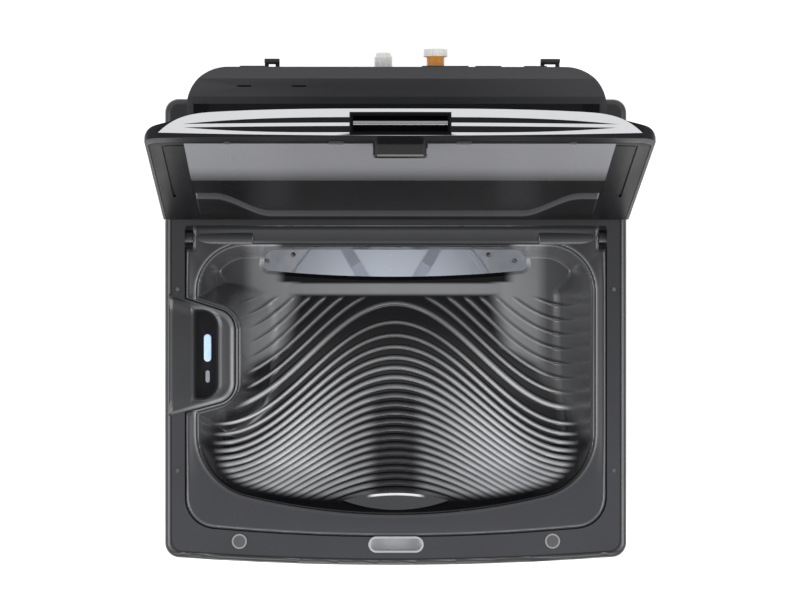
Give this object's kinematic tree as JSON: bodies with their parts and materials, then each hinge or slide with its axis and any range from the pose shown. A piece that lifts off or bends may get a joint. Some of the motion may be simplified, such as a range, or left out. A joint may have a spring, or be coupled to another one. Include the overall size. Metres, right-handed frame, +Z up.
{
  "type": "top load washing machine",
  "caption": "Charcoal top load washing machine with its glazed outer lid open, a ribbed smoked sink lid with a jet button, suspended tub, drum, pulsator and direct drive.",
  "frame": {"origin": "on the floor under the middle of the machine's overall length and width", "axes": "+X to the machine's right side as seen from its front, -Y towards the front where the user stands, +Z up"},
  "size_m": [0.686, 0.764, 1.5485],
  "materials": {
    "cabinet_paint": "satin charcoal enamel",
    "grey_steel": "zinc-coated sheet",
    "bright_steel": "turned or drawn",
    "drum_steel": "bright stainless",
    "dark_gloss": "charcoal, soft gloss",
    "dark_satin": "charcoal, satin",
    "black_gloss": "black gloss",
    "black_matte": "black",
    "smoked": "smoked translucent",
    "grip_grey": "light grey",
    "black_glass": "dark tinted",
    "bright_chrome": "satin chrome",
    "button_grey": "satin grey",
    "soft_rubber": "moulded",
    "button_light": "back-lit translucent",
    "white_plastic": "white",
    "orange_plastic": "orange",
    "tub_plastic": "moulded grey",
    "pulsator_silver": "silver-grey",
    "cast_aluminium": "die cast",
    "motor_steel": "zinc-coated",
    "board_green": "laminate"
  },
  "bodies": {
    "cabinet": {"cabinet_wrap": "cabinet_paint", "rear_panel": "grey_steel", "rear_screws": "bright_steel", "base_frame": "grey_steel", "foot_pads": "soft_rubber", "foot_studs": "bright_steel", "top_deck": "dark_gloss", "latch_cup": "bright_chrome", "lid_lock_body": "black_matte", "deck_bumpers": "soft_rubber", "button_pocket": "black_gloss", "jet_icon_lens": "button_light", "hinge_brackets_and_pins": "bright_steel", "console_housing": "dark_satin", "control_glass": "black_glass", "control_board": "board_green", "inlet_valve": "black_matte", "cold_inlet": "white_plastic", "hot_inlet": "orange_plastic", "hot_cap": "white_plastic", "hose_hooks": "black_matte", "mains_gland": "black_matte", "drain_outlet": "black_matte", "jet_feed": "soft_rubber", "suspension_brackets": "grey_steel", "suspension_rods": "bright_steel", "suspension_springs": "bright_steel"},
    "lock_bolt": {"lid_lock_bolt": "bright_steel"},
    "jet_key": {"jet_button": "button_light"},
    "dial": {"programme_dial": "bright_chrome"},
    "power_key": {"power_button": "button_grey"},
    "start_key": {"start_button": "button_grey"},
    "outer_lid": {"lid_outer_frame": "dark_gloss", "lid_outer_glass": "black_glass", "lid_inner_frame": "dark_satin", "lid_inner_glass": "black_glass", "lid_chrome_trim": "bright_chrome", "lid_handle_insert": "black_gloss", "lid_handle_grip": "bright_chrome", "lid_latch_block": "black_gloss", "lid_stops": "soft_rubber", "lid_hinge_arms": "grip_grey"},
    "sink_lid": {"sink_bowl": "smoked", "sink_frame": "dark_gloss", "sink_grip": "grip_grey"},
    "tub": {"outer_tub": "tub_plastic", "tub_cover": "tub_plastic", "bearing_housing": "cast_aluminium", "spin_bearings": "motor_steel", "shaft_seal": "soft_rubber", "stator": "motor_steel", "pump_body": "tub_plastic"},
    "drum": {"drum_hub": "cast_aluminium", "drum_floor": "drum_steel", "drum_shell": "drum_steel", "balance_ring": "white_plastic"},
    "agitator": {"rotor": "motor_steel", "drive_shaft": "bright_steel", "pulsator": "pulsator_silver"},
    "pump_wheel": {"pump_impeller": "tub_plastic"}
  },
  "joints": [
    {"name": "outer_lid_hinge", "type": "hinge", "parent": "cabinet", "child": "outer_lid", "pos_m": [0, 0.14, 1.035], "axis": [-1, 0, 0], "range_deg": [-101.2, 0]},
    {"name": "sink_lid_hinge", "type": "hinge", "parent": "cabinet", "child": "sink_lid", "pos_m": [0, 0.105, 1.001], "axis": [-1, 0, 0], "range_deg": [0, 97]},
    {"name": "tub_suspension", "type": "slide", "parent": "cabinet", "child": "tub", "axis": [0, 0, 1], "range_m": [-0.012, 0.01], "stiffness_N_per_m": 9000, "springref_m": 0.03782, "deforming": ["suspension_springs"]},
    {"name": "drum_spin", "type": "hinge", "parent": "tub", "child": "drum", "pos_m": [0, -0.03, 0.2], "axis": [0, 0, 1], "continuous": true},
    {"name": "pulsator_spin", "type": "hinge", "parent": "drum", "child": "agitator", "pos_m": [0, -0.03, 0.2], "axis": [0, 0, 1], "continuous": true},
    {"name": "pump_spin", "type": "hinge", "parent": "tub", "child": "pump_wheel", "pos_m": [0.15, -0.2, 0.19], "axis": [0, 0, 1], "continuous": true},
    {"name": "jet_button_press", "type": "slide", "parent": "cabinet", "child": "jet_key", "axis": [0, 0, -1], "range_m": [0, 0.002], "stiffness_N_per_m": 500, "springref_m": -0.002},
    {"name": "power_button_press", "type": "slide", "parent": "cabinet", "child": "power_key", "axis": [0, 0.4366, -0.8997], "range_m": [0, 0.0015], "stiffness_N_per_m": 500, "springref_m": -0.002},
    {"name": "start_button_press", "type": "slide", "parent": "cabinet", "child": "start_key", "axis": [0, 0.4366, -0.8997], "range_m": [0, 0.0015], "stiffness_N_per_m": 500, "springref_m": -0.002},
    {"name": "programme_dial_turn", "type": "hinge", "parent": "cabinet", "child": "dial", "pos_m": [0, 0.239, 1.08749], "axis": [0, -0.4366, 0.8997], "continuous": true},
    {"name": "lid_lock_throw", "type": "slide", "parent": "cabinet", "child": "lock_bolt", "axis": [1, 0, 0], "range_m": [-0.018, 0]}
  ]
}
